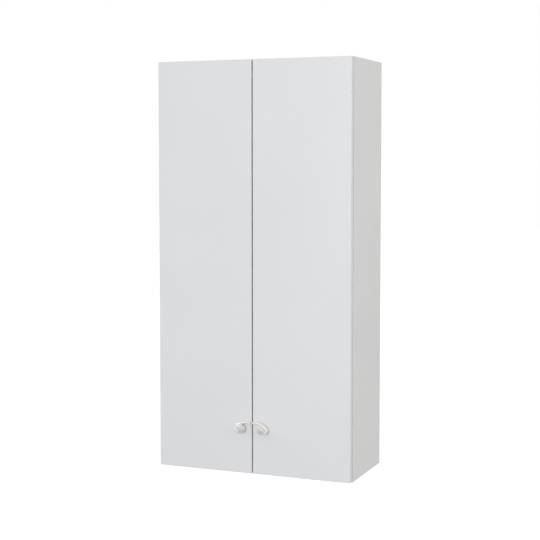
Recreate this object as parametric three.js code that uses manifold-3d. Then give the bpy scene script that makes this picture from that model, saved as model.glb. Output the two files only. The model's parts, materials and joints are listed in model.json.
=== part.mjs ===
// Hanging wall cabinet with two full-overlay doors, four compartments, single-pivot cup hinges
// and adjustable wall hangers. Millimetres. X right, Y towards the wall, Z up.
// The origin is the middle of the top panel's rear edge, on the wall plane.
import * as THREE from 'three';
import { RoundedBoxGeometry } from 'three/addons/geometries/RoundedBoxGeometry.js';
import * as BufferGeometryUtils from 'three/addons/utils/BufferGeometryUtils.js';
import Module from 'manifold-3d';

const wasm = await Module();
wasm.setup();

// Overall size
const WIDTH = 500;
const HEIGHT = 1000;
const DEPTH = 230;
const BOARD = 16;
const CLEAR = 0.3;

// Carcass
const TOP_Z = BOARD / 2;
const BOTTOM_Z = TOP_Z - HEIGHT;
const SIDE_INNER = WIDTH / 2 - BOARD;
const DOOR_GAP = 1.6;
const DOOR_FRONT_Y = -DEPTH;
const DOOR_BACK_Y = DOOR_FRONT_Y + BOARD;
const CARCASS_FRONT_Y = DOOR_BACK_Y + DOOR_GAP;
const EDGE_EASE = 0.8;

// Back panel in its grooves
const BACK_THICK = 3;
const BACK_RECESS = 16;
const GROOVE_DEPTH = 7;
const BACK_ENTRY = 6.5;

// Shelves on pins
const SHELF_COUNT = 3;
const SHELF_SETBACK = 22;
const SHELF_SIDE_PLAY = 1;
const PIN_RADIUS = 2.4;
const PIN_HOLE_DEPTH = 10;
const PIN_INSET = 37;
const HOLE_STEP = 32;
const HOLES_EACH_WAY = 1;
const PIN_SPOON = 9;

// Doors
const CENTRE_GAP = 3;
const DOOR_REVEAL = 1;
const DOOR_TOP_Z = TOP_Z - 0.5;
const DOOR_BOTTOM_Z = BOTTOM_Z + 2;
const DOOR_EASE = 1.6;
const DOOR_WIDTH = (WIDTH - CENTRE_GAP) / 2 - DOOR_REVEAL;
const DOOR_HEIGHT = DOOR_TOP_Z - DOOR_BOTTOM_Z;

// Hinges. Their own sections are drawn with u from the side panel's inner face towards
// the opening and v from the back of the closed door towards the wall.
const HINGE_FROM_END = 100;
const PIVOT_U = -8.6;
const PIVOT_V = -10.2;
const CUP_RADIUS = 17.5;
const CUP_WALL = 0.8;
const CUP_DEPTH = 13.2;
const CUP_U = CUP_RADIUS - 12.2;
const CUP_RIM = 0.2;
const EAR_U = CUP_U + 9.5;
const EAR_SPACING = 45;
const EAR_THICK = 1.2;
const AXLE_RADIUS = 1.05;
const AXLE_LENGTH = 13.4;
const LUG_FROM = 4.6;
const LUG_TO = 7;
const EYE_RADIUS = 1.9;
const EYE_BORE = 1.35;
const NECK_WIDTH = 7.5;
const NECK_THICK = 2.4;
const ARM_WIDTH = 15;
const ARM_WEB = 1.4;
const ARM_TOP_U = 12.4;
const ARM_REAR_V = 62;
const PLATE_V = DOOR_GAP + 37;
const PLATE_SPACING = 32;
const PLATE_BASE = 2.3;

// Knobs
const KNOB_X = 26;
const KNOB_ABOVE_DOOR_BOTTOM = 110;
const KNOB_BULB_RADIUS = 10.6;
const KNOB_DEPTH = 15;
const KNOB_FOOT = 2.2;
const KNOB_FOOT_RADIUS = 7.5;
const KNOB_TAIL_DEPTH = 8.4;
const KNOB_TAIL_MIDDLE = 7.2;
const KNOB_TAIL_EASE = 3;
const KNOB_TIP = 25;
const KNOB_SCREW_RADIUS = 2;
const KNOB_SCREW_REACH = 9;

// Bumpers
const BUMPER_RADIUS = 5;
const BUMPER_X = 60;

// Hangers
const HANGER_WIDTH = 20;
const HANGER_HEIGHT = 60;
const HANGER_DEPTH = 38;
const HOOK_THICK = 2.5;
const HOOK_WIDTH = 12;
const HOOK_SETBACK = 3;
const HOOK_LIP = 13;
const HOOK_SLOT_WIDTH = 15;
const HOOK_SLOT_ABOVE = 12;
const HOOK_SLOT_BELOW = 20;
const HANGER_WALL = 2;
const HANGER_SCREW = 2.5;

const whiteBoard = { color: 0xf4f5f5, roughness: 0.45, metalness: 0 };
const doorWhite = { color: 0xf5f6f7, roughness: 0.3, metalness: 0 };
const ivory = { color: 0xf0e9df, roughness: 0.25, metalness: 0 };
const hardboard = { color: 0xeeefee, roughness: 0.6, metalness: 0 };
const steel = { color: 0xb9bcc0, roughness: 0.3, metalness: 0.9 };
const whitePlastic = { color: 0xe9eaea, roughness: 0.5, metalness: 0 };
const clearRubber = { color: 0xdfe2e0, roughness: 0.4, metalness: 0 };

const cabinet = new THREE.Group();

// ---- solids -------------------------------------------------------------------------------

function solid(geometry) {
  const bare = geometry.clone();
  bare.deleteAttribute('normal');
  bare.deleteAttribute('uv');
  const merged = BufferGeometryUtils.mergeVertices(bare, 1e-4);
  const vertProperties = new Float32Array(merged.attributes.position.array);
  const triVerts = new Uint32Array(merged.index.array);
  return new wasm.Manifold(new wasm.Mesh({ numProp: 3, vertProperties, triVerts }));
}

// The mesh of a solid. mirror = true gives its mirror image in the plane x = 0.
function geometryOf(manifold, mirror) {
  const mesh = manifold.getMesh();
  const positions = new Float32Array(mesh.vertProperties);
  const triangles = new Uint32Array(mesh.triVerts);
  if (mirror) {
    for (let i = 0; i < positions.length; i += 3) positions[i] = -positions[i];
    triangles.reverse();
  }
  const geometry = new THREE.BufferGeometry();
  geometry.setAttribute('position', new THREE.BufferAttribute(positions, 3));
  geometry.setIndex(new THREE.BufferAttribute(triangles, 1));
  const flat = geometry.toNonIndexed();
  flat.computeVertexNormals();
  return flat;
}

function box(x0, x1, y0, y1, z0, z1) {
  const geometry = new THREE.BoxGeometry(x1 - x0, y1 - y0, z1 - z0);
  geometry.translate((x0 + x1) / 2, (y0 + y1) / 2, (z0 + z1) / 2);
  return solid(geometry);
}

function easedBox(x0, x1, y0, y1, z0, z1, ease, segments = 1) {
  const geometry = new RoundedBoxGeometry(x1 - x0, y1 - y0, z1 - z0, segments, ease);
  geometry.translate((x0 + x1) / 2, (y0 + y1) / 2, (z0 + z1) / 2);
  return solid(geometry);
}

// A cylinder between two values on one axis. The centre gives the other two coordinates.
function rod(axis, radius, from, to, centre, segments = 24) {
  const geometry = new THREE.CylinderGeometry(radius, radius, to - from, segments);
  if (axis === 'x') geometry.rotateZ(-Math.PI / 2);
  if (axis === 'z') geometry.rotateX(Math.PI / 2);
  const middle = new THREE.Vector3(...centre);
  middle[axis] = (from + to) / 2;
  geometry.translate(middle.x, middle.y, middle.z);
  return solid(geometry);
}

// A solid of revolution about a line along Y through the centre. The profile holds [radius, along],
// and way = -1 points it to the front.
function turned(profile, centre, way, segments = 20) {
  const points = profile.map(([radius, along]) => new THREE.Vector2(radius, along));
  const geometry = new THREE.LatheGeometry(points, segments);
  if (way < 0) geometry.rotateX(Math.PI);
  geometry.translate(...centre);
  return solid(geometry);
}

// A section in the (u, v) plane raised along Z, centred on z = 0.
function raised(shape, width, curveSegments = 6) {
  const geometry = new THREE.ExtrudeGeometry(shape, { depth: width, bevelEnabled: false, curveSegments });
  geometry.translate(0, 0, -width / 2);
  return solid(geometry);
}

function outline(points) {
  return new THREE.Shape(points.map(([u, v]) => new THREE.Vector2(u, v)));
}

function add(name, manifold, finish, mirror = false) {
  const mesh = new THREE.Mesh(geometryOf(manifold, mirror), new THREE.MeshStandardMaterial(finish));
  mesh.name = name;
  cabinet.add(mesh);
}

// Pieces that come in pairs are drawn for the left side, and the right one is the mirror image.
function addPair(name, manifold, finish) {
  add(`${name}_left`, manifold, finish);
  add(`${name}_right`, manifold, finish, true);
}

// ---- positions ----------------------------------------------------------------------------

const insideTop = TOP_Z - BOARD;
const insideBottom = BOTTOM_Z + BOARD;
const compartment = (insideTop - insideBottom - SHELF_COUNT * BOARD) / (SHELF_COUNT + 1);
const backFrontY = -BACK_RECESS - BACK_THICK;
const shelfFrontY = CARCASS_FRONT_Y + SHELF_SETBACK;
const shelfRearY = backFrontY - 1;
const pinRows = [['front', CARCASS_FRONT_Y + PIN_INSET], ['rear', shelfRearY - PIN_INSET]];
const hingeHeights = [['top', DOOR_TOP_Z - HINGE_FROM_END], ['bottom', DOOR_BOTTOM_Z + HINGE_FROM_END]];
const knobZ = DOOR_BOTTOM_Z + KNOB_ABOVE_DOOR_BOTTOM;
const hangerX = -(SIDE_INNER - CLEAR - HANGER_WIDTH / 2);
const hookZ = insideTop - 26;

function shelfUndersideZ(index) {
  return insideTop - (index + 1) * (compartment + BOARD);
}

// ---- carcass ------------------------------------------------------------------------------

// The left side panel: eased edges, the back panel's groove and rows of pin holes.
function sidePanel() {
  const inner = -SIDE_INNER;
  let panel = easedBox(-WIDTH / 2, inner, CARCASS_FRONT_Y, 0, BOTTOM_Z, TOP_Z, EDGE_EASE);
  const groove = box(inner - GROOVE_DEPTH, inner + 1, backFrontY - CLEAR, -BACK_RECESS + CLEAR,
    insideBottom - BACK_ENTRY - CLEAR, insideTop + BACK_ENTRY + CLEAR);
  panel = panel.subtract(groove);
  for (let index = 0; index < SHELF_COUNT; index += 1) {
    for (let step = -HOLES_EACH_WAY; step <= HOLES_EACH_WAY; step += 1) {
      for (const [, y] of pinRows) {
        const centre = [0, y, shelfUndersideZ(index) - PIN_RADIUS - CLEAR + step * HOLE_STEP];
        const radius = PIN_RADIUS + CLEAR;
        panel = panel.subtract(rod('x', radius, inner - PIN_HOLE_DEPTH - CLEAR, inner + 1, centre, 10));
      }
    }
  }
  return panel;
}

// The top or bottom panel, between the sides, with the back panel's groove.
function endPanel(z0, grooveFrom, grooveTo) {
  const half = SIDE_INNER - CLEAR;
  const panel = easedBox(-half, half, CARCASS_FRONT_Y, 0, z0, z0 + BOARD, EDGE_EASE);
  const groove = box(-half - 1, half + 1, backFrontY - CLEAR, -BACK_RECESS + CLEAR, grooveFrom, grooveTo);
  return panel.subtract(groove);
}

// The hardboard back, with one slot near each top corner for the hanger's hook.
function backPanel() {
  const half = SIDE_INNER + BACK_ENTRY;
  let panel = box(-half, half, backFrontY, -BACK_RECESS, insideBottom - BACK_ENTRY, insideTop + BACK_ENTRY);
  for (const x of [hangerX, -hangerX]) {
    const slot = box(x - HOOK_SLOT_WIDTH / 2, x + HOOK_SLOT_WIDTH / 2, backFrontY - 1, -BACK_RECESS + 1,
      hookZ - HOOK_SLOT_BELOW, hookZ + HOOK_SLOT_ABOVE);
    panel = panel.subtract(slot);
  }
  return panel;
}

function shelf(index) {
  const half = SIDE_INNER - SHELF_SIDE_PLAY;
  const z = shelfUndersideZ(index);
  return easedBox(-half, half, shelfFrontY, shelfRearY, z, z + BOARD, EDGE_EASE);
}

// A shelf pin for the left side: the peg in its hole, a collar, and a spoon under the shelf.
function shelfPin(y, z) {
  const wall = -SIDE_INNER;
  const peg = rod('x', PIN_RADIUS, wall - PIN_HOLE_DEPTH, wall + 1.5, [0, y, z], 10);
  const collar = rod('x', PIN_RADIUS + 1.2, wall + CLEAR, wall + 1.5, [0, y, z - 1.2], 10);
  const spoon = box(wall + CLEAR, wall + PIN_SPOON, y - 3.5, y + 3.5, z + PIN_RADIUS - 2, z + PIN_RADIUS);
  return peg.add(collar).add(spoon);
}

addPair('side_panel', sidePanel(), whiteBoard);
add('top_panel', endPanel(insideTop, insideTop - 1, insideTop + GROOVE_DEPTH), whiteBoard);
add('bottom_panel', endPanel(BOTTOM_Z, insideBottom - GROOVE_DEPTH, insideBottom + 1), whiteBoard);
add('back_panel', backPanel(), hardboard);
for (let index = 0; index < SHELF_COUNT; index += 1) {
  add(`shelf_${index + 1}`, shelf(index), whiteBoard);
  for (const [row, y] of pinRows) {
    addPair(`shelf_pin_${index + 1}_${row}`, shelfPin(y, shelfUndersideZ(index) - PIN_RADIUS - CLEAR), steel);
  }
}

// ---- doors, knobs and bumpers -------------------------------------------------------------

// The left door, with blind bores for the two cups and the clearance hole for the knob's screw.
function door() {
  const outer = -WIDTH / 2 + DOOR_REVEAL;
  const inner = outer + DOOR_WIDTH;
  let leaf = easedBox(outer, inner, DOOR_FRONT_Y, DOOR_BACK_Y, DOOR_BOTTOM_Z, DOOR_TOP_Z, DOOR_EASE);
  const boreEnd = DOOR_BACK_Y - CUP_DEPTH - CLEAR;
  for (const [, z] of hingeHeights) {
    const centre = [CUP_U - SIDE_INNER, 0, z];
    leaf = leaf.subtract(rod('y', CUP_RADIUS + CLEAR, boreEnd, DOOR_BACK_Y + 1, centre, 32));
  }
  const screwHole = rod('y', KNOB_SCREW_RADIUS + 0.5, DOOR_FRONT_Y - 1, DOOR_BACK_Y + 1, [-KNOB_X, 0, knobZ]);
  return leaf.subtract(screwHole);
}

// The left knob's tail, seen from the front with the bulb's centre at (0, 0): it starts on the
// bulb's outer side, rises over the bulb and tapers towards the doors' centre gap.
function knobTail() {
  const shape = new THREE.Shape();
  shape.moveTo(-3, -8.4);
  shape.bezierCurveTo(-9, -10.4, -15.9, -7.4, -15.9, -1.6);
  shape.bezierCurveTo(-15.9, 5.4, -6.5, 16.2, 8.5, 16.9);
  shape.bezierCurveTo(13.5, 17.1, 18.5, 16.5, KNOB_TIP - 3.4, 16);
  shape.bezierCurveTo(KNOB_TIP - 1.8, 15.7, KNOB_TIP - 1.8, 14, KNOB_TIP - 3.4, 13.8);
  shape.bezierCurveTo(15, 14.7, 9, 14.8, 2.6, 8.4);
  return shape;
}

// Half of the bulb's oval section, from its back pole to its front pole.
function bulbSection() {
  const middle = (KNOB_FOOT + KNOB_DEPTH) / 2 - 0.4;
  const half = KNOB_DEPTH - middle;
  const steps = 10;
  const points = [];
  for (let i = 0; i <= steps; i += 1) {
    const angle = (i / steps - 0.5) * Math.PI;
    points.push([KNOB_BULB_RADIUS * Math.cos(angle) ** 0.8, middle + half * Math.sin(angle)]);
  }
  return points;
}

// The knob: a foot on the door and a head of one round bulb fused with the tail.
function knob() {
  const back = DOOR_FRONT_Y - CLEAR;
  const centre = [-KNOB_X, back, knobZ];
  const depth = KNOB_TAIL_DEPTH - 2 * KNOB_TAIL_EASE;
  const bevel = { bevelEnabled: true, bevelThickness: KNOB_TAIL_EASE, bevelSize: 1.8, bevelSegments: 3 };
  const tail = new THREE.ExtrudeGeometry(knobTail(), { depth, curveSegments: 6, ...bevel });
  tail.rotateX(Math.PI / 2);
  tail.translate(-KNOB_X, back - KNOB_TAIL_MIDDLE + depth / 2, knobZ);
  const bulb = turned(bulbSection(), centre, -1, 24);
  const foot = rod('y', KNOB_FOOT_RADIUS, back - KNOB_FOOT - 2, back, centre, 24);
  const boreRadius = KNOB_SCREW_RADIUS + CLEAR;
  const bore = rod('y', boreRadius, back - KNOB_SCREW_REACH - CLEAR, back + 1, centre, 12);
  return solid(tail).add(bulb).add(foot).subtract(bore);
}

function knobScrew() {
  const centre = [-KNOB_X, 0, knobZ];
  const headBack = DOOR_BACK_Y + CLEAR + 2;
  const shank = rod('y', KNOB_SCREW_RADIUS, DOOR_FRONT_Y - KNOB_SCREW_REACH, headBack - 1, centre, 10);
  const head = rod('y', 4, DOOR_BACK_Y + CLEAR, headBack, centre, 16);
  const slot = box(-KNOB_X - 2.4, -KNOB_X + 2.4, headBack - 1, headBack + 1, knobZ - 0.5, knobZ + 0.5);
  const cross = box(-KNOB_X - 0.5, -KNOB_X + 0.5, headBack - 1, headBack + 1, knobZ - 2.4, knobZ + 2.4);
  return shank.add(head).subtract(slot).subtract(cross);
}

// A bumper on the back of the left door, facing the front edge of the top or bottom panel.
function bumper(z) {
  const thick = DOOR_GAP - 2 * CLEAR;
  const shoulder = [BUMPER_RADIUS - 0.4, 0.6 * thick];
  const profile = [[0, 0], [BUMPER_RADIUS, 0], shoulder, [BUMPER_RADIUS - 2, thick], [0, thick]];
  return turned(profile, [-BUMPER_X, DOOR_BACK_Y + CLEAR, z], 1, 12);
}

addPair('door', door(), doorWhite);
addPair('knob', knob(), ivory);
addPair('knob_screw', knobScrew(), steel);
addPair('bumper_top', bumper(TOP_Z - BOARD / 2), clearRubber);
addPair('bumper_bottom', bumper(BOTTOM_Z + BOARD / 2), clearRubber);

// ---- cup hinges ---------------------------------------------------------------------------

// A screw's round head with a slot, standing on a face that looks along +u or +v.
function screwHead(axis, radius, from, to, centre) {
  const head = rod(axis, radius, from, to, centre, 10);
  const top = new THREE.Vector3(...centre);
  top[axis] = to;
  const half = { x: 0.65 * radius, y: 0.65 * radius, z: 0.45 };
  half[axis] = 0.6 * (to - from);
  const { x, y, z } = top;
  return head.subtract(box(x - half.x, x + half.x, y - half.y, y + half.y, z - half.z, z + half.z));
}

// The cup: a round pan let into the door, two screwed ears and two bored lugs for the pin.
function hingeCup() {
  const pan = rod('y', CUP_RADIUS, -CUP_DEPTH, CUP_RIM, [CUP_U, 0, 0], 28);
  const earHalf = EAR_SPACING / 2 + 5.5;
  const ears = box(EAR_U - 6, EAR_U + 6, CLEAR, CLEAR + EAR_THICK, -earHalf, earHalf);
  const collar = rod('y', CUP_RADIUS, CUP_RIM - 1, CLEAR + EAR_THICK, [CUP_U, 0, 0], 28)
    .intersect(box(EAR_U - 12, EAR_U + 12, -1, 3, -earHalf, earHalf));
  const inside = rod('y', CUP_RADIUS - CUP_WALL, CUP_WALL - CUP_DEPTH, 5, [CUP_U, 0, 0], 28);
  let cup = pan.add(ears).add(collar).subtract(inside);
  for (const [from, to] of [[LUG_FROM, LUG_TO], [-LUG_TO, -LUG_FROM]]) {
    cup = cup.add(box(PIVOT_U - 1.8, PIVOT_U + 2.6, CUP_WALL / 2 - CUP_DEPTH, PIVOT_V + 2.4, from, to));
  }
  const bore = AXLE_LENGTH / 2 + CLEAR;
  cup = cup.subtract(rod('z', AXLE_RADIUS + CLEAR, -bore, bore, [PIVOT_U, PIVOT_V, 0], 12));
  for (const z of [-EAR_SPACING / 2, EAR_SPACING / 2]) {
    cup = cup.add(screwHead('y', 3.6, CLEAR + 0.5, CLEAR + EAR_THICK + 0.8, [EAR_U, 0, z]));
  }
  return cup;
}

function hingePin() {
  return rod('z', AXLE_RADIUS, -AXLE_LENGTH / 2, AXLE_LENGTH / 2, [PIVOT_U, PIVOT_V, 0], 12);
}

// The arm: an eye on the pin, a goose neck that runs along the cup's bottom and rises out
// of its mouth, and a channel over the mounting plate's rib.
function hingeArm() {
  const low = PIVOT_V - 1.5;
  const high = PIVOT_V + 0.9;
  const left = PIVOT_U + 12;
  const right = left + NECK_THICK;
  const webLow = ARM_TOP_U - ARM_WEB;
  const neckFront = [[PIVOT_U, low], [right - 1, low], [right, low + 1], [right, 1.5], [ARM_TOP_U, 8]];
  const neckRear = [[ARM_TOP_U, 12], [webLow, 12], [webLow, 8.6], [left, 2.2], [left, high], [PIVOT_U, high]];
  const neck = raised(outline([...neckFront, ...neckRear]), NECK_WIDTH);
  const webOuter = [[right, 2.6], [ARM_TOP_U, 8], [ARM_TOP_U, ARM_REAR_V]];
  const webInner = [[webLow, ARM_REAR_V], [webLow, 8.6], [right - 1.6, 3.4]];
  const web = raised(outline([...webOuter, ...webInner]), ARM_WIDTH);
  const eye = rod('z', EYE_RADIUS, -NECK_WIDTH / 2, NECK_WIDTH / 2, [PIVOT_U, PIVOT_V, 0], 16);
  const bore = rod('z', EYE_BORE, -NECK_WIDTH, NECK_WIDTH, [PIVOT_U, PIVOT_V, 0], 12);
  let arm = neck.add(eye).subtract(bore).add(web);
  for (const z of [-ARM_WIDTH / 2, ARM_WIDTH / 2 - ARM_WEB]) {
    arm = arm.add(box(PLATE_BASE + 1, webLow + 0.5, 11, ARM_REAR_V, z, z + ARM_WEB));
  }
  arm = arm.add(screwHead('x', 3.2, webLow + 0.4, ARM_TOP_U + 1.4, [0, 24, 0]));
  return arm.add(screwHead('x', 3.6, webLow + 0.4, ARM_TOP_U + 1.6, [0, ARM_REAR_V - 10, 0]));
}

// The mounting plate: a winged base screwed to the side panel and the rib that carries the arm.
function hingePlate() {
  const wing = PLATE_SPACING / 2 + 8;
  const base = box(CLEAR, PLATE_BASE, PLATE_V - 7, PLATE_V + 7, -wing, wing);
  const foot = box(CLEAR, PLATE_BASE, 14, ARM_REAR_V + 3, -8, 8);
  const rib = box(CLEAR, ARM_TOP_U - ARM_WEB - 0.6, 16, ARM_REAR_V - 1, -5.5, 5.5);
  let plate = base.add(foot).add(rib);
  for (const z of [-PLATE_SPACING / 2, PLATE_SPACING / 2]) {
    plate = plate.add(screwHead('x', 3.8, PLATE_BASE - 0.6, PLATE_BASE + 1.2, [0, PLATE_V, z]));
  }
  return plate;
}

for (const [end, z] of hingeHeights) {
  const place = [-SIDE_INNER, DOOR_BACK_Y, z];
  addPair(`hinge_cup_${end}`, hingeCup().translate(place), steel);
  addPair(`hinge_pin_${end}`, hingePin().translate(place), steel);
  addPair(`hinge_arm_${end}`, hingeArm().translate(place), steel);
  addPair(`hinge_plate_${end}`, hingePlate().translate(place), steel);
}

// ---- wall hangers -------------------------------------------------------------------------

const hangerRearY = backFrontY - CLEAR;
const hangerFrontY = hangerRearY - HANGER_DEPTH;
const hangerTopZ = insideTop - CLEAR;
const hangerScrews = [['height', hangerTopZ - 44], ['depth', hookZ - 8]];

// The housing: a box in the corner, open to the rear, with two screw holes in its front wall.
function hangerHousing() {
  const x0 = hangerX - HANGER_WIDTH / 2;
  const x1 = hangerX + HANGER_WIDTH / 2;
  const wall = HANGER_WALL;
  let housing = easedBox(x0, x1, hangerFrontY, hangerRearY, hangerTopZ - HANGER_HEIGHT, hangerTopZ, 1);
  const inside = box(x0 + wall, x1 - wall, hangerFrontY + wall, hangerRearY + 1,
    hangerTopZ - HANGER_HEIGHT + wall, hangerTopZ - wall);
  housing = housing.subtract(inside);
  for (const [, z] of hangerScrews) {
    const hole = rod('y', HANGER_SCREW + 0.4, hangerFrontY - 1, hangerFrontY + 4, [hangerX, 0, z], 12);
    housing = housing.subtract(hole);
  }
  return housing;
}

// The hook: an upright plate in the housing, a strip to the rear, and a lip turned down.
function hangerHook() {
  const x0 = hangerX - HOOK_WIDTH / 2;
  const x1 = hangerX + HOOK_WIDTH / 2;
  const root = hangerRearY - 16;
  const strip = box(x0, x1, root - HOOK_THICK, -HOOK_SETBACK, hookZ, hookZ + HOOK_THICK);
  const upright = box(x0, x1, root - HOOK_THICK, root, hookZ - 14, hookZ + 1);
  const lip = box(x0, x1, -HOOK_SETBACK - HOOK_THICK, -HOOK_SETBACK, hookZ - HOOK_LIP, hookZ + 1);
  return strip.add(upright).add(lip);
}

// An adjusting screw: its shank through the housing and its crossed head in front of it.
function hangerScrew(z, reach) {
  const centre = [hangerX, 0, z];
  const headBack = hangerFrontY - CLEAR;
  const front = headBack - 4;
  const slotEnd = headBack - 1.1;
  const shank = rod('y', HANGER_SCREW, hangerFrontY - 1, hangerFrontY + reach, centre, 10);
  const head = rod('y', HANGER_SCREW + 1.6, headBack - 2, headBack, centre, 14);
  const slot = box(hangerX - 2.8, hangerX + 2.8, front, slotEnd, z - 0.5, z + 0.5);
  const cross = box(hangerX - 0.5, hangerX + 0.5, front, slotEnd, z - 2.8, z + 2.8);
  return shank.add(head).subtract(slot).subtract(cross);
}

addPair('hanger_housing', hangerHousing(), whitePlastic);
addPair('hanger_hook', hangerHook(), steel);
addPair('hanger_height_screw', hangerScrew(hangerScrews[0][1], 24), steel);
addPair('hanger_depth_screw', hangerScrew(hangerScrews[1][1], 18), steel);

export default cabinet;
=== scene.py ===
import json
import math

import bmesh
import bpy
from mathutils import Matrix, Vector


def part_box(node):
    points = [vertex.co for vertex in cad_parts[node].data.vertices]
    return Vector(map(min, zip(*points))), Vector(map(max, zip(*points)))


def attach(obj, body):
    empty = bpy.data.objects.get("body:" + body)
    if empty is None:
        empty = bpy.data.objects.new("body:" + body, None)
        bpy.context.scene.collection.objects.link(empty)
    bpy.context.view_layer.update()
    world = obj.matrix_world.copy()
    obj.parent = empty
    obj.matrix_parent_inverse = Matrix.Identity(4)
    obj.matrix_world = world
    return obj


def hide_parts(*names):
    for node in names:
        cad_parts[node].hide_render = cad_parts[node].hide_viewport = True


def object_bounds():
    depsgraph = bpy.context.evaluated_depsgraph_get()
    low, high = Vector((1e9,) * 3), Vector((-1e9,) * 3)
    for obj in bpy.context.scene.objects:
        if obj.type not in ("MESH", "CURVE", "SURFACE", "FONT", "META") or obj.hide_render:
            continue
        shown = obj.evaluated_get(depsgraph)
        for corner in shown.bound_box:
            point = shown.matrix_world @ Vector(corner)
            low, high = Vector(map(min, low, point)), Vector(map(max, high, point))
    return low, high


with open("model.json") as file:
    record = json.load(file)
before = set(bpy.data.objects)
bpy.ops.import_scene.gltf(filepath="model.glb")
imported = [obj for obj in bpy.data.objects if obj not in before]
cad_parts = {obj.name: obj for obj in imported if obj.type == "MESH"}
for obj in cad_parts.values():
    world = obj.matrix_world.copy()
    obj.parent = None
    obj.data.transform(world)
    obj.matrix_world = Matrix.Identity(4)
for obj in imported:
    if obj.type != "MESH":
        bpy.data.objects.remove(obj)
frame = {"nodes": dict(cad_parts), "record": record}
cad_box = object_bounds()
MM = 0.001
SIDES = ("left", "right")
INWARD = {"left": 1, "right": -1}  # the way along X from a door's hinge to the centre gap


# ---- node helpers --------------------------------------------------------------------------


class Shader:
    """A material with a Principled shader and short calls for the nodes that feed it."""

    def __init__(self, name):
        self.material = bpy.data.materials.new(name)
        self.material.use_nodes = True
        self.nodes = self.material.node_tree.nodes
        self.links = self.material.node_tree.links
        self.main = self.nodes["Principled BSDF"]
        self.coords = self.nodes.new("ShaderNodeTexCoord").outputs["Object"]

    def feed(self, socket, value):
        """Links a socket to another one, or sets its own value."""
        if isinstance(value, bpy.types.NodeSocket):
            self.links.new(value, socket)
        else:
            socket.default_value = value

    def scaled(self, z_scale):
        """The object's coordinates. A z_scale under 1 draws a pattern out along Z."""
        node = self.nodes.new("ShaderNodeMapping")
        node.inputs["Scale"].default_value = (1, 1, z_scale)
        self.links.new(self.coords, node.inputs["Vector"])
        return node.outputs["Vector"]

    def noise(self, scale, detail=3.0, rough=0.5, z_scale=1.0):
        node = self.nodes.new("ShaderNodeTexNoise")
        node.inputs["Scale"].default_value = scale
        node.inputs["Detail"].default_value = detail
        node.inputs["Roughness"].default_value = rough
        self.links.new(self.scaled(z_scale), node.inputs["Vector"])
        return node.outputs["Fac"]

    def cells(self, scale, z_scale=1.0):
        node = self.nodes.new("ShaderNodeTexVoronoi")
        node.inputs["Scale"].default_value = scale
        self.links.new(self.scaled(z_scale), node.inputs["Vector"])
        return node.outputs["Color"]

    def span(self, value, low, high, start=0.3, end=0.7):
        """low where the value is under start, high where it is over end, and soft between."""
        node = self.nodes.new("ShaderNodeMapRange")
        node.interpolation_type = "SMOOTHSTEP"
        self.links.new(value, node.inputs["Value"])
        node.inputs["From Min"].default_value = start
        node.inputs["From Max"].default_value = end
        node.inputs["To Min"].default_value = low
        node.inputs["To Max"].default_value = high
        return node.outputs["Result"]

    def mask(self, value, start=0.3, end=0.7, full=1.0):
        """0 where the value is under start and full where it is over end."""
        return self.span(value, 0.0, full, start, end)

    def mix(self, factor, first, second):
        node = self.nodes.new("ShaderNodeMix")
        node.data_type = "RGBA"
        self.feed(node.inputs["Factor"], factor)
        self.feed(node.inputs["A"], first)
        self.feed(node.inputs["B"], second)
        return node.outputs["Result"]

    def math(self, operation, first, second=0.0):
        node = self.nodes.new("ShaderNodeMath")
        node.operation = operation
        self.feed(node.inputs[0], first)
        self.feed(node.inputs[1], second)
        return node.outputs["Value"]

    def along(self, axis):
        node = self.nodes.new("ShaderNodeSeparateXYZ")
        self.links.new(self.coords, node.inputs["Vector"])
        return node.outputs[axis]

    def edges(self, radius):
        """1 on an edge of that radius and 0 on flat faces."""
        bevel = self.nodes.new("ShaderNodeBevel")
        bevel.samples = 6
        bevel.inputs["Radius"].default_value = radius
        geometry = self.nodes.new("ShaderNodeNewGeometry")
        dot = self.nodes.new("ShaderNodeVectorMath")
        dot.operation = "DOT_PRODUCT"
        self.links.new(bevel.outputs["Normal"], dot.inputs[0])
        self.links.new(geometry.outputs["Normal"], dot.inputs[1])
        return self.span(dot.outputs["Value"], 1.0, 0.0, start=0.7, end=0.98)

    def edged(self, base, colour, radius, amount):
        """The base colour, tinted along the edges."""
        return self.mix(self.math("MULTIPLY", self.edges(radius), amount), base, colour)

    def bump(self, height, strength, distance, before=None):
        node = self.nodes.new("ShaderNodeBump")
        node.inputs["Strength"].default_value = strength
        node.inputs["Distance"].default_value = distance
        self.links.new(height, node.inputs["Height"])
        if before is not None:
            self.links.new(before, node.inputs["Normal"])
        return node.outputs["Normal"]

    def finish(self, **sockets):
        for name, value in sockets.items():
            self.feed(self.main.inputs[name.replace("_", " ")], value)
        return self.material


# ---- materials -----------------------------------------------------------------------------


def door_lacquer():
    s = Shader("door_lacquer")
    cool_white = (0.700, 0.712, 0.730, 1)
    plain_white = (0.722, 0.727, 0.735, 1)
    faint_fleck = (0.690, 0.702, 0.716, 1)
    door_edge_painted_shade = (0.60, 0.60, 0.59, 1)
    base = s.mix(s.mask(s.noise(2.4, detail=2.0)), cool_white, plain_white)
    base = s.mix(s.mask(s.noise(46.0), full=0.25), base, faint_fleck)
    # Painted shade: the edges are painted darker, as the shade on rounded edges.
    base = s.edged(base, door_edge_painted_shade, radius=1.4 * MM, amount=0.35)
    skin = s.bump(s.noise(420.0, detail=2.0), strength=0.10, distance=0.2 * MM)
    skin = s.bump(s.noise(9.0, detail=1.0), strength=0.05, distance=2.0 * MM, before=skin)
    rough = s.span(s.noise(7.0, detail=4.0), low=0.30, high=0.38)
    return s.finish(Base_Color=base, Roughness=rough, Normal=skin, Specular_IOR_Level=0.45)


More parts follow.
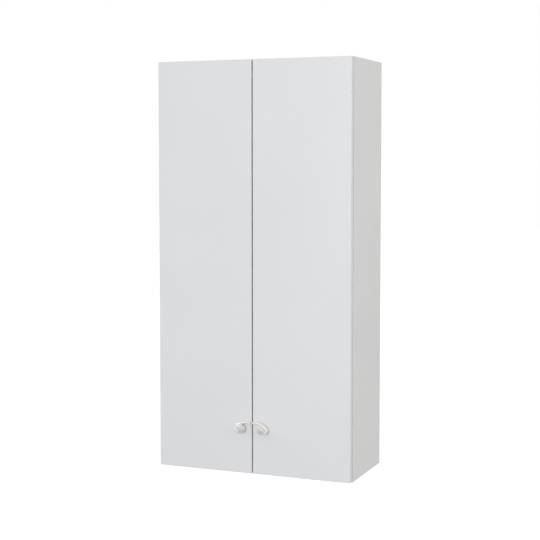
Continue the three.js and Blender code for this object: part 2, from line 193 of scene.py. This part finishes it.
def chipboard(s):
    """The raw board's colour, with its chips and pores, for cut edges."""
    dark_tone = (0.36, 0.25, 0.15, 1)
    light_tone = (0.62, 0.48, 0.32, 1)
    dark_chip = (0.40, 0.28, 0.17, 1)
    light_chip = (0.72, 0.59, 0.43, 1)
    pore = (0.22, 0.14, 0.08, 1)
    crumb = s.mask(s.cells(420.0, z_scale=0.55), start=0.2, end=0.8)
    shade = s.mask(s.noise(260.0, detail=4.0), start=0.35, end=0.65)
    tone = s.mix(shade, dark_tone, light_tone)
    chips = s.mix(crumb, dark_chip, light_chip)
    board = s.mix(0.45, tone, chips)
    pores = s.mask(s.noise(1500.0, rough=0.6), start=0.56, end=0.66, full=0.75)
    return s.mix(pores, board, pore)


def white_board():
    s = Shader("white_board")
    soft_white = (0.700, 0.700, 0.694, 1)
    pale_white = (0.728, 0.727, 0.720, 1)
    grain_white = (0.672, 0.672, 0.664, 1)
    board_edge_painted_shade = (0.50, 0.495, 0.485, 1)
    grain = s.noise(70.0, detail=4.0, rough=0.6, z_scale=0.12)
    face = s.mix(s.mask(s.noise(3.1)), soft_white, pale_white)
    face = s.mix(s.mask(grain, full=0.22), face, grain_white)
    # Painted shade: the edges are painted darker, as the shade on rounded edges.
    face = s.edged(face, board_edge_painted_shade, radius=1.6 * MM, amount=0.45)
    # The rear edges are bare board.
    rear = cad_box[1].y
    bare = s.mask(s.along("Y"), start=rear - 0.45 * MM, end=rear - 0.25 * MM)
    skin = s.bump(s.noise(900.0, detail=2.0, rough=0.6, z_scale=0.3), strength=0.22, distance=0.2 * MM)
    skin = s.bump(s.cells(520.0), strength=0.12, distance=0.2 * MM, before=skin)
    crumble = s.math("MULTIPLY", bare, s.noise(1100.0, detail=4.0, rough=0.6))
    skin = s.bump(crumble, strength=0.7, distance=0.6 * MM, before=skin)
    rough = s.span(s.noise(60.0, z_scale=0.2), low=0.38, high=0.52)
    return s.finish(Base_Color=s.mix(bare, face, chipboard(s)), Roughness=rough, Normal=skin,
                    Specular_IOR_Level=0.4)


def hardboard():
    """Painted on the side that faces the shelves, bare and brown behind."""
    s = Shader("hardboard")
    dull_paint = (0.70, 0.70, 0.69, 1)
    clean_paint = (0.735, 0.735, 0.725, 1)
    dark_fibre = (0.21, 0.125, 0.065, 1)
    light_fibre = (0.37, 0.24, 0.135, 1)
    dark_hair = (0.15, 0.085, 0.042, 1)
    pale_hair = (0.50, 0.36, 0.22, 1)
    painted = s.mix(s.mask(s.noise(5.0)), dull_paint, clean_paint)
    fibre = s.mask(s.noise(160.0, detail=5.0, rough=0.65, z_scale=0.35))
    brown = s.mix(fibre, dark_fibre, light_fibre)
    hairs = s.mask(s.noise(1300.0, detail=4.0, rough=0.65, z_scale=0.22), start=0.5, end=0.68, full=0.6)
    brown = s.mix(hairs, brown, dark_hair)
    pale = s.mask(s.noise(800.0, rough=0.6, z_scale=0.3), start=0.58, end=0.72, full=0.5)
    brown = s.mix(pale, brown, pale_hair)
    middle = (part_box("back_panel")[0].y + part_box("back_panel")[1].y) / 2
    rear = s.mask(s.along("Y"), start=middle - 0.1 * MM, end=middle + 0.1 * MM)
    skin = s.bump(s.mask(s.cells(330.0), start=0.2, end=0.8), strength=0.25, distance=0.3 * MM)
    rear_fibre = s.math("MULTIPLY", rear, s.noise(1300.0, rough=0.6, z_scale=0.25))
    skin = s.bump(rear_fibre, strength=0.4, distance=0.3 * MM, before=skin)
    rough = s.span(s.noise(40.0), low=0.5, high=0.72)
    return s.finish(Base_Color=s.mix(rear, painted, brown), Roughness=rough, Normal=skin)


def plated_steel():
    s = Shader("plated_steel")
    dull_zinc = (0.52, 0.53, 0.55, 1)
    bright_zinc = (0.68, 0.69, 0.70, 1)
    rubbed_edge = (0.80, 0.81, 0.82, 1)
    tint = s.mix(s.mask(s.noise(60.0)), dull_zinc, bright_zinc)
    tint = s.edged(tint, rubbed_edge, radius=0.4 * MM, amount=0.5)
    rough = s.span(s.noise(240.0, rough=0.6, z_scale=0.15), low=0.29, high=0.42)
    skin = s.bump(s.noise(1500.0, detail=2.0, z_scale=0.1), strength=0.15, distance=0.1 * MM)
    return s.finish(Base_Color=tint, Metallic=1.0, Roughness=rough, Normal=skin)


def ivory_glaze():
    """Darker and warmer on the bulb, as painted shade under the tail, and white on the tail."""
    s = Shader("ivory_glaze")
    # The bulb's two colours are painted shade: darker and warmer than the tail, as the ball lies in the
    # shade under the tail.
    bulb_painted_shade_dark = (0.535, 0.50, 0.48, 1)
    bulb_painted_shade_pale = (0.61, 0.585, 0.57, 1)
    tail_shade = (0.71, 0.70, 0.68, 1)
    tail_light = (0.76, 0.755, 0.74, 1)
    speck = (0.50, 0.44, 0.39, 1)
    mottle = s.mask(s.noise(90.0, detail=4.0, rough=0.6))
    bulb = s.mix(mottle, bulb_painted_shade_dark, bulb_painted_shade_pale)
    white = s.mix(mottle, tail_shade, tail_light)
    # The distance from the bulb's centre line. The knobs are mirrored, so X is taken as positive.
    screw_low, screw_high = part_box("knob_screw_right")
    middle = (screw_low + screw_high) / 2
    across = s.math("SUBTRACT", s.math("ABSOLUTE", s.along("X")), middle.x)
    up = s.math("SUBTRACT", s.along("Z"), middle.z)
    out = s.math("SQRT", s.math("ADD", s.math("POWER", across, 2.0), s.math("POWER", up, 2.0)))
    # Inside the bulb's rim the colour turns to the bulb's painted shade.
    base = s.mix(s.mask(out, start=7.8 * MM, end=10.8 * MM), bulb, white)
    base = s.mix(s.mask(s.noise(900.0, detail=2.0), start=0.55, end=0.75, full=0.18), base, speck)
    skin = s.bump(s.noise(260.0, detail=2.0), strength=0.06, distance=0.3 * MM)
    rough = s.span(s.noise(150.0), low=0.14, high=0.24)
    return s.finish(Base_Color=base, Roughness=rough, Normal=skin, Coat_Weight=0.9, Coat_Roughness=0.06)


def white_plastic():
    s = Shader("white_plastic")
    dull_white = (0.68, 0.68, 0.67, 1)
    clean_white = (0.73, 0.73, 0.72, 1)
    plastic_edge_painted_highlight = (0.78, 0.78, 0.77, 1)
    base = s.mix(s.mask(s.noise(30.0)), dull_white, clean_white)
    # Painted highlight: the edges are painted lighter, as light caught on rounded edges.
    base = s.edged(base, plastic_edge_painted_highlight, radius=0.6 * MM, amount=0.4)
    skin = s.bump(s.noise(1400.0, detail=2.0), strength=0.25, distance=0.1 * MM)
    rough = s.span(s.noise(80.0), low=0.4, high=0.55)
    return s.finish(Base_Color=base, Roughness=rough, Normal=skin)


def soft_rubber():
    s = Shader("soft_rubber")
    milky = (0.60, 0.61, 0.60, 1)
    clear = (0.70, 0.71, 0.70, 1)
    base = s.mix(s.mask(s.noise(300.0)), milky, clear)
    skin = s.bump(s.noise(900.0, detail=2.0), strength=0.1, distance=0.1 * MM)
    rough = s.span(s.noise(200.0), low=0.3, high=0.45)
    return s.finish(Base_Color=base, Roughness=rough, Normal=skin, Transmission_Weight=0.25)


MATERIALS = {
    "door_face": door_lacquer(),
    "board": white_board(),
    "hardboard": hardboard(),
    "zinc": plated_steel(),
    "knob": ivory_glaze(),
    "housing_plastic": white_plastic(),
    "bumper_rubber": soft_rubber(),
}


# ---- geometry helpers ----------------------------------------------------------------------

NEAR = 1e-6  # vertices closer than this, in metres, are in the same place
SMOOTH_UNDER = math.radians(34)  # faces at less than this angle are shaded as one surface
HARD_OVER = math.radians(36)  # an edge of the CAD mesh over this angle gets rounded
FLAT_UNDER = math.radians(0.4)  # faces at less than this angle are merged
ROD_STEPS = 56  # the sides of a round cut


def new_object(name, bm, material):
    mesh = bpy.data.meshes.new(name)
    bm.normal_update()
    bm.to_mesh(mesh)
    bm.free()
    mesh.materials.append(material)
    obj = bpy.data.objects.new(name, mesh)
    bpy.context.scene.collection.objects.link(obj)
    return obj


def bake(obj):
    """Applies the object's modifiers."""
    graph = bpy.context.evaluated_depsgraph_get()
    mesh = bpy.data.meshes.new_from_object(obj.evaluated_get(graph))
    old = obj.data
    obj.modifiers.clear()
    obj.data = mesh
    bpy.data.meshes.remove(old)


def even_shading(obj):
    """Smooth shading that keeps flat faces flat and hard edges sharp."""
    bm = bmesh.new()
    bm.from_mesh(obj.data)
    for face in bm.faces:
        face.smooth = True
    for edge in bm.edges:
        edge.smooth = len(edge.link_faces) == 2 and edge.calc_face_angle(0) < SMOOTH_UNDER
    bm.to_mesh(obj.data)
    bm.free()
    mod = obj.modifiers.new("even normals", "WEIGHTED_NORMAL")
    mod.keep_sharp = True
    mod.weight = 90


def box_mesh(low, high):
    bm = bmesh.new()
    place = Matrix.Translation((low + high) / 2) @ Matrix.Diagonal((*(high - low), 1))
    bmesh.ops.create_cube(bm, size=1, matrix=place)
    return bm


def round_edges(bm, edges, width, segments, clamp=False):
    bmesh.ops.bevel(bm, geom=edges, offset=width, segments=segments, profile=0.5, affect="EDGES",
                    clamp_overlap=clamp)


def skin_rings(bm, rings):
    """A closed skin over rings of vertices, flat at both ends."""
    steps = len(rings[0])
    for a, b in zip(rings, rings[1:]):
        for i in range(steps):
            j = (i + 1) % steps
            bm.faces.new((a[i], a[j], b[j], b[i]))
    bm.faces.new(rings[0][::-1])
    bm.faces.new(rings[-1])


def cut_rods(obj, rods):
    """Subtracts round bars, given as (centre, radius, length), that lie along Y."""
    turn = Vector((0, 0, 1)).rotation_difference(Vector((0, 1, 0))).to_matrix().to_4x4()
    bm = bmesh.new()
    for centre, radius, length in rods:
        place = Matrix.Translation(centre) @ turn
        bmesh.ops.create_cone(bm, cap_ends=True, segments=ROD_STEPS, radius1=radius, radius2=radius,
                              depth=length, matrix=place)
    cutter = new_object("cutter", bm, MATERIALS["board"])
    mod = obj.modifiers.new("cut", "BOOLEAN")
    mod.operation = "DIFFERENCE"
    mod.solver = "EXACT"
    mod.object = cutter
    bake(obj)
    bpy.data.objects.remove(cutter)


def slot_of(node):
    return next(part["material_slot"] for part in frame["record"]["subparts"] if part["node"] == node)


def body_with(node):
    bodies = frame["record"]["behaviour"]["bodies"]
    return next(body for body, nodes in bodies.items() if node in nodes)


def stand_for(obj, node):
    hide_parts(node)
    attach(obj, body_with(node))


def refined(node, width):
    """A copy of a CAD node with merged faces and small rounded edges."""
    bm = bmesh.new()
    bm.from_mesh(frame["nodes"][node].data)
    bmesh.ops.remove_doubles(bm, verts=bm.verts[:], dist=NEAR)
    bmesh.ops.dissolve_limit(bm, angle_limit=FLAT_UNDER, verts=bm.verts[:], edges=bm.edges[:])
    hard = [e for e in bm.edges if len(e.link_faces) == 2 and e.calc_face_angle(0) > HARD_OVER]
    round_edges(bm, hard, width, segments=2, clamp=True)
    obj = new_object(node + "_fine", bm, MATERIALS[slot_of(node)])
    even_shading(obj)
    stand_for(obj, node)


# ---- doors ---------------------------------------------------------------------------------

REAR_EASE = 1.0 * MM
FRONT_EASE = 0.6 * MM
CUP_RADIUS = 17.5 * MM
CUP_ROOM = 0.3 * MM  # between a hinge cup and its bore, round it and under it
OVERSHOOT = 4 * MM  # how far a bore's cutter stands out of the door's back
SCREW_HOLE_RADIUS = 2.5 * MM
SCREW_HOLE_LENGTH = 30 * MM  # enough to pass right through a door


def cup_bore(cup_low, cup_high, mouth, side):
    """The bar that cuts a cup's bore, from just under the cup to past the door's back."""
    bottom = cup_low.y - CUP_ROOM
    outer_edge = cup_low.x if side == "left" else cup_high.x
    x = outer_edge + INWARD[side] * CUP_RADIUS
    centre = Vector((x, (mouth + bottom) / 2 + OVERSHOOT / 2, (cup_low.z + cup_high.z) / 2))
    return centre, CUP_RADIUS + CUP_ROOM, mouth - bottom + OVERSHOOT


def door(side):
    node = f"door_{side}"
    low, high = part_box(node)
    bm = box_mesh(low, high)
    rear = [e for e in bm.edges if all(v.co.y > high.y - NEAR for v in e.verts)]
    round_edges(bm, rear, REAR_EASE, segments=3)
    front = [e for e in bm.edges if all(v.co.y < low.y + NEAR for v in e.verts)]
    half = (high.y - low.y) / 2
    corners = [e for e in bm.edges if abs(e.verts[0].co.y - e.verts[1].co.y) > half]
    round_edges(bm, front + corners, FRONT_EASE, segments=3)
    obj = new_object(node + "_leaf", bm, MATERIALS["door_face"])
    cuts = []
    for end in ("top", "bottom"):
        cup_low, cup_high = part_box(f"hinge_cup_{end}_{side}")
        cuts.append(cup_bore(cup_low, cup_high, high.y, side))
    screw_low, screw_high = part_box(f"knob_screw_{side}")
    hole = (screw_low + screw_high) / 2
    hole.y = (low.y + high.y) / 2
    cuts.append((hole, SCREW_HOLE_RADIUS, SCREW_HOLE_LENGTH))
    cut_rods(obj, cuts)
    even_shading(obj)
    stand_for(obj, node)


for side_name in SIDES:
    door(side_name)


# ---- knobs ---------------------------------------------------------------------------------

# The foot and the bulb, a round button with a full front: height above the door and radius, in mm.
BULB = [(0.0, 7.0), (0.9, 7.5), (2.2, 7.8), (3.0, 8.9), (4.6, 10.1), (6.6, 10.6),
        (8.8, 10.55), (10.8, 9.8), (12.6, 8.2), (14.0, 5.9), (14.7, 3.6), (14.95, 1.6)]
BULB_STEPS = 48
# The tail, as on the left door: x and z of its middle line from the bulb's centre, half width and
# half depth, in mm.
TAIL = [(-4.0, -7.8, 2.8, 3.0), (-10.2, -7.0, 3.6, 3.6), (-13.8, -2.8, 3.9, 4.0),
        (-13.4, 2.0, 3.9, 4.2), (-10.4, 6.4, 3.6, 4.3), (-6.0, 9.8, 3.3, 4.2),
        (-0.6, 12.6, 3.1, 4.0), (5.0, 14.7, 3.0, 3.8), (10.8, 15.7, 2.9, 3.4),
        (16.6, 15.6, 2.7, 3.1), (21.4, 15.1, 2.5, 2.8), (23.4, 14.9, 2.1, 2.3), (24.4, 14.8, 1.4, 1.5)]
TAIL_RISE = 7.2 * MM  # the middle line's height above the door
TAIL_STEPS = 24
TAIL_RINGS = 54
GLAZE_VOXEL = 0.45 * MM
GLAZE_PASSES = 6
ON_PLANE = 1e-7  # vertices closer than this to the cutting plane, in metres, lie on it


def spline(points, count):
    """count + 1 points on a Catmull-Rom curve through the given ones."""
    out = []
    padded = [points[0] * 2 - points[1], *points, points[-1] * 2 - points[-2]]
    spans = len(points) - 1
    for k in range(count + 1):
        u = k / count * spans
        i = min(int(u), spans - 1)
        t = u - i
        a, b, c, d = padded[i:i + 4]
        out.append(0.5 * ((2 * b) + (c - a) * t + (2 * a - 5 * b + 4 * c - d) * t * t
                          + (3 * b - a - 3 * c + d) * t ** 3))
    return out


def add_bulb(bm, foot):
    """The bulb, on a foot whose centre is given, on the door's face."""
    rings = []
    for rise, radius in BULB:
        ring = []
        for i in range(BULB_STEPS):
            turn = 2 * math.pi * i / BULB_STEPS
            spoke = Vector((math.cos(turn), 0, math.sin(turn))) * radius * MM
            ring.append(bm.verts.new(Vector((foot.x, foot.y - rise * MM, foot.z)) + spoke))
        rings.append(ring)
    skin_rings(bm, rings)


def add_tail(bm, foot, way):
    """The tail, a tapered tube that runs round the bulb and out to a tip."""
    path = spline([Vector((x * way, z, 0)) * MM for x, z, _, _ in TAIL], TAIL_RINGS)
    sizes = spline([Vector((w, d, 0)) * MM for _, _, w, d in TAIL], TAIL_RINGS)
    rings = []
    for k, point in enumerate(path):
        ahead = path[min(k + 1, TAIL_RINGS)] - path[max(k - 1, 0)]
        across = Vector((-ahead.y, 0, ahead.x)).normalized()
        centre = Vector((foot.x + point.x, foot.y - TAIL_RISE, foot.z + point.y))
        ring = []
        for i in range(TAIL_STEPS):
            turn = 2 * math.pi * i / TAIL_STEPS
            deep = Vector((0, sizes[k].y * math.sin(turn), 0))
            ring.append(bm.verts.new(centre + across * (sizes[k].x * math.cos(turn)) + deep))
        rings.append(ring)
    skin_rings(bm, rings)


def fuse(obj):
    """Joins the bulb and the tail under one soft skin."""
    skin = obj.modifiers.new("fuse", "REMESH")
    skin.mode = "VOXEL"
    skin.voxel_size = GLAZE_VOXEL
    soften = obj.modifiers.new("soften", "SMOOTH")
    soften.factor = 0.5
    soften.iterations = GLAZE_PASSES
    bake(obj)


def cut_flat(obj, back):
    """Cuts the foot flat at the door's face and shades the rest smooth."""
    bm = bmesh.new()
    bm.from_mesh(obj.data)
    cut = bmesh.ops.bisect_plane(bm, geom=bm.verts[:] + bm.edges[:] + bm.faces[:], dist=ON_PLANE,
                                 plane_co=(0, back, 0), plane_no=(0, 1, 0), clear_outer=True)
    rim = [e for e in cut["geom_cut"] if isinstance(e, bmesh.types.BMEdge)]
    bmesh.ops.holes_fill(bm, edges=rim)
    for face in bm.faces:
        face.smooth = True
    bm.to_mesh(obj.data)
    bm.free()


def knob(side):
    node = f"knob_{side}"
    screw_low, screw_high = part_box(f"knob_screw_{side}")
    foot = (screw_low + screw_high) / 2
    foot.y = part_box(node)[1].y
    bm = bmesh.new()
    add_bulb(bm, foot)
    add_tail(bm, foot, INWARD[side])
    bmesh.ops.recalc_face_normals(bm, faces=bm.faces[:])
    obj = new_object(node + "_glazed", bm, MATERIALS["knob"])
    fuse(obj)
    cut_flat(obj, foot.y)
    stand_for(obj, node)


for side_name in SIDES:
    knob(side_name)


# ---- the other pieces ----------------------------------------------------------------------

# How far the edges of each kind of piece are rounded, in mm.
EASES = {
    "side_panel": 0.35,
    "top_panel": 0.35,
    "bottom_panel": 0.35,
    "shelf": 0.35,
    "back_panel": 0.2,
    "shelf_pin": 0.25,
    "hinge_cup": 0.2,
    "hinge_pin": 0.15,
    "hinge_arm": 0.3,
    "hinge_plate": 0.35,
    "hanger_housing": 0.35,
    "hanger_hook": 0.35,
    "hanger_height_screw": 0.2,
    "hanger_depth_screw": 0.2,
    "knob_screw": 0.25,
    "bumper": 0.2,
}

for name in frame["nodes"]:
    if name.startswith("door_") or name in ("knob_left", "knob_right"):
        continue
    # The longest match: a shelf pin's name starts like a shelf's.
    kind = max((k for k in EASES if name.startswith(k)), key=len)
    refined(name, EASES[kind] * MM)


# ---- set, light and camera -----------------------------------------------------------------

FLOOR_DROP = 1.5  # metres under the cabinet, so that views from below stay clear
FLOOR_HALF = 40  # half its width, in metres
FLOOR_GLOW = 0.82  # its own light, so that it looks as white as the backdrop
SKY_LEVEL = 0.54  # the light of the backdrop at the horizon
SKY_RISE = 0.15  # what it gains straight up and loses straight down


def floor():
    s = Shader("studio_floor")
    dark_grey = (0.26, 0.26, 0.26, 1)
    light_grey = (0.29, 0.29, 0.29, 1)
    tone = s.mix(s.mask(s.noise(0.8, detail=2.0)), dark_grey, light_grey)
    material = s.finish(Base_Color=tone, Roughness=0.9, Emission_Color=(1, 1, 1, 1),
                        Emission_Strength=FLOOR_GLOW)
    bm = bmesh.new()
    bmesh.ops.create_grid(bm, x_segments=2, y_segments=2, size=FLOOR_HALF)
    obj = new_object("studio_floor", bm, material)
    obj.location = (0, 0, cad_box[0].z - FLOOR_DROP)
    obj.visible_diffuse = False
    obj.visible_glossy = False


def area_light(name, place, size, power):
    """A round light that faces the middle of the cabinet."""
    data = bpy.data.lights.new(name, "AREA")
    data.shape = "DISK"
    data.size = size
    data.energy = power
    obj = bpy.data.objects.new(name, data)
    obj.location = place
    middle = (cad_box[0] + cad_box[1]) / 2
    obj.rotation_euler = (middle - Vector(place)).to_track_quat("-Z", "Y").to_euler()
    bpy.context.scene.collection.objects.link(obj)


def sun_light(name, source, power, degrees):
    """Light from the source's direction, as soft as a disc that many degrees wide."""
    data = bpy.data.lights.new(name, "SUN")
    data.energy = power
    data.angle = math.radians(degrees)
    obj = bpy.data.objects.new(name, data)
    obj.rotation_euler = Vector(source).to_track_quat("Z", "Y").to_euler()
    bpy.context.scene.collection.objects.link(obj)


def white_world():
    """The backdrop is seen as white. As a light it is softer, and a little stronger from above."""
    world = bpy.data.worlds.new("studio")
    world.use_nodes = True
    nodes, links = world.node_tree.nodes, world.node_tree.links
    backdrop = nodes["Background"]
    backdrop.inputs["Color"].default_value = (1, 1, 1, 1)
    direction = nodes.new("ShaderNodeSeparateXYZ")
    links.new(nodes.new("ShaderNodeTexCoord").outputs["Generated"], direction.inputs["Vector"])
    above = nodes.new("ShaderNodeMath")
    above.operation = "MULTIPLY_ADD"
    links.new(direction.outputs["Z"], above.inputs[0])
    above.inputs[1].default_value = SKY_RISE
    above.inputs[2].default_value = SKY_LEVEL
    level = nodes.new("ShaderNodeMix")
    links.new(nodes.new("ShaderNodeLightPath").outputs["Is Camera Ray"], level.inputs["Factor"])
    links.new(above.outputs["Value"], level.inputs["A"])
    level.inputs["B"].default_value = 1.0
    links.new(level.outputs["Result"], backdrop.inputs["Strength"])
    bpy.context.scene.world = world


floor()
white_world()
# The sun shines along the doors: it lights the knobs' sides and casts no clear shadow on the doors.
sun_light("rim", source=(-0.86, 0.0, 0.51), power=2.1, degrees=14)
# The key stands in front of the doors, and the fill lights the right side panel.
area_light("key", place=(0.3, -4.2, -0.05), size=1.6, power=71)
area_light("fill", place=(2.8, -0.4, -0.1), size=2.2, power=26.5)

# The photograph is taken level. A small dip stands for most of its lens shift here, because a large
# shift would cut off the other views.
CAMERA_PLACE = (1.178, -3.0087, -0.2363)
CAMERA_TURN = 22.163
CAMERA_DIP = 3.671
SENSOR_WIDTH = 36
LENS = 84.21
LENS_SHIFT = -0.05
camera = bpy.data.objects.new("camera", bpy.data.cameras.new("camera"))
camera.data.sensor_width = SENSOR_WIDTH
camera.data.lens = LENS
camera.data.shift_y = LENS_SHIFT
camera.location = CAMERA_PLACE
camera.rotation_euler = (math.radians(90 - CAMERA_DIP), 0, math.radians(CAMERA_TURN))
bpy.context.scene.collection.objects.link(camera)
bpy.context.scene.camera = camera
bpy.context.scene.view_settings.view_transform = "Standard"
